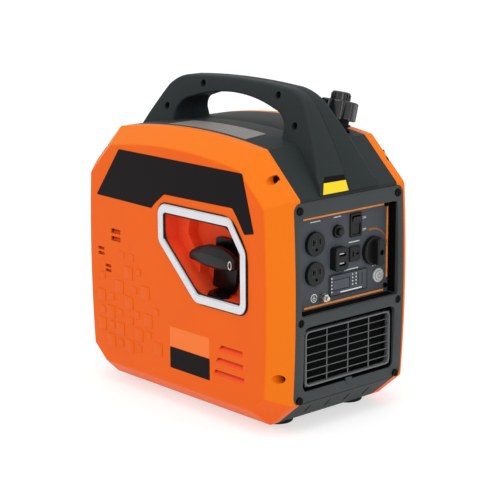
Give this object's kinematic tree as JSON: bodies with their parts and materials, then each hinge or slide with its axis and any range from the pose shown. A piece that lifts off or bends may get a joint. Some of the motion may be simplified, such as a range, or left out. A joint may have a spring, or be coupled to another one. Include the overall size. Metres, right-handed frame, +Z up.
{
  "type": "portable generator",
  "caption": "Enclosed portable inverter generator with carrying handle, recoil starter in a side pocket, control panel with outlets, inlet grille and fuel cap.",
  "frame": {"origin": "on the ground under the middle of the body", "axes": "+X towards the control panel, -Y towards the starter side, +Z up"},
  "size_m": [0.455, 0.291, 0.483],
  "materials": {
    "orange_plastic": "satin moulded",
    "pocket_red": "satin moulded",
    "black_plastic": "fine grain moulded",
    "control_grey": "printed panel",
    "dark_plastic": "smooth moulded",
    "chrome": "satin",
    "rubber": "matt",
    "rope": "braided",
    "screw_steel": "blackened",
    "bright_steel": "plated",
    "white_plastic": "smooth moulded",
    "red_button": "smooth moulded",
    "lens": "clear",
    "tank_plastic": "blow moulded",
    "cast_metal": "as cast",
    "steel": "machined",
    "copper": "wound"
  },
  "bodies": {
    "generator": {"air_cleaner": "black_plastic", "base_tray": "black_plastic", "breaker_body": "dark_plastic", "button_bezel": "white_plastic", "carburettor": "cast_metal", "control_plate": "control_grey", "control_plate_screws": "screw_steel", "crankcase": "cast_metal", "cylinder_head": "cast_metal", "dc_socket": "dark_plastic", "dial_valve": "dark_plastic", "display_frame": "control_grey", "display_window": "lens", "eco_switch_frame": "dark_plastic", "engine_mounts": "rubber", "filler_neck": "rubber", "front_bezel": "black_plastic", "fuel_hose": "rubber", "fuel_tank": "tank_plastic", "ground_stud": "bright_steel", "handle_screws": "screw_steel", "inlet_grille": "black_plastic", "inverter_module": "cast_metal", "left_side_cover": "orange_plastic", "left_top_cover": "black_plastic", "muffler": "steel", "oil_filler_cap": "black_plastic", "outlet_lower": "dark_plastic", "outlet_upper": "dark_plastic", "panel_screws": "screw_steel", "rear_cover": "black_plastic", "recoil_housing": "black_plastic", "recoil_spring": "steel", "right_side_cover": "orange_plastic", "right_top_cover": "black_plastic", "rocker_cover": "cast_metal", "rope_guide": "black_plastic", "rubber_feet": "rubber", "service_cover": "orange_plastic", "side_cover_screws": "screw_steel", "spark_plug": "steel", "starter_pocket": "pocket_red", "starter_rope": "rope", "starter_trim": "chrome", "stator": "copper", "tail_pipe": "bright_steel", "usb_socket": "dark_plastic"},
    "starter_grip": {"starter_grip": "black_plastic"},
    "recoil_pulley": {"recoil_pulley": "black_plastic"},
    "crank": {"crankshaft": "steel", "flywheel_rotor": "steel", "cooling_fan": "black_plastic"},
    "cap_gasket": {"cap_gasket": "rubber"},
    "fuel_cap": {"fuel_cap": "black_plastic"},
    "vent_knob": {"vent_knob": "black_plastic"},
    "engine_dial": {"engine_dial": "dark_plastic"},
    "eco_rocker": {"eco_rocker": "dark_plastic"},
    "breaker_button": {"breaker_button": "red_button"},
    "start_button": {"start_button": "white_plastic"},
    "ground_nut": {"ground_nut": "bright_steel"}
  },
  "joints": [
    {"name": "starter_pull", "type": "slide", "parent": "generator", "child": "starter_grip", "axis": [0, -1, 0], "range_m": [0, 0.6], "stiffness_N_per_m": 20, "springref_m": -0.25, "deforming": ["starter_rope"]},
    {"name": "recoil_pulley_spin", "type": "hinge", "parent": "generator", "child": "recoil_pulley", "pos_m": [0.074, 0, 0.19], "axis": [1, 0, 0], "range_deg": [0, 862]},
    {"name": "crank_spin", "type": "hinge", "parent": "generator", "child": "crank", "pos_m": [0, 0, 0.19], "axis": [1, 0, 0], "continuous": true},
    {"name": "fuel_cap_lift", "type": "slide", "parent": "generator", "child": "cap_gasket", "axis": [0, 0.2588, 0.9659], "range_m": [0, 0.06]},
    {"name": "fuel_cap_turn", "type": "hinge", "parent": "cap_gasket", "child": "fuel_cap", "pos_m": [0.122, 0.07, 0.412], "axis": [0, 0.2588, 0.9659], "range_deg": [0, 540]},
    {"name": "vent_knob_turn", "type": "hinge", "parent": "fuel_cap", "child": "vent_knob", "pos_m": [0.122, 0.07, 0.412], "axis": [0, 0.2588, 0.9659], "range_deg": [0, 90]},
    {"name": "engine_dial_turn", "type": "hinge", "parent": "generator", "child": "engine_dial", "pos_m": [0.207, 0.0635, 0.2425], "axis": [1, 0, 0], "range_deg": [0, 105]},
    {"name": "eco_rocker_tip", "type": "hinge", "parent": "generator", "child": "eco_rocker", "pos_m": [0.205, 0.028, 0.286], "axis": [0, 1, 0], "range_deg": [-20, 0]},
    {"name": "breaker_press", "type": "slide", "parent": "generator", "child": "breaker_button", "axis": [-1, 0, 0], "range_m": [0, 0.003], "stiffness_N_per_m": 400, "springref_m": -0.004},
    {"name": "start_press", "type": "slide", "parent": "generator", "child": "start_button", "axis": [-1, 0, 0], "range_m": [0, 0.002], "stiffness_N_per_m": 400, "springref_m": -0.004},
    {"name": "ground_nut_turn", "type": "hinge", "parent": "generator", "child": "ground_nut", "pos_m": [0.207, -0.038, 0.19], "axis": [1, 0, 0], "continuous": true}
  ],
  "couplings": [
    {"joint": "recoil_pulley_spin", "follows": "starter_pull", "rad_per_m": 25}
  ]
}
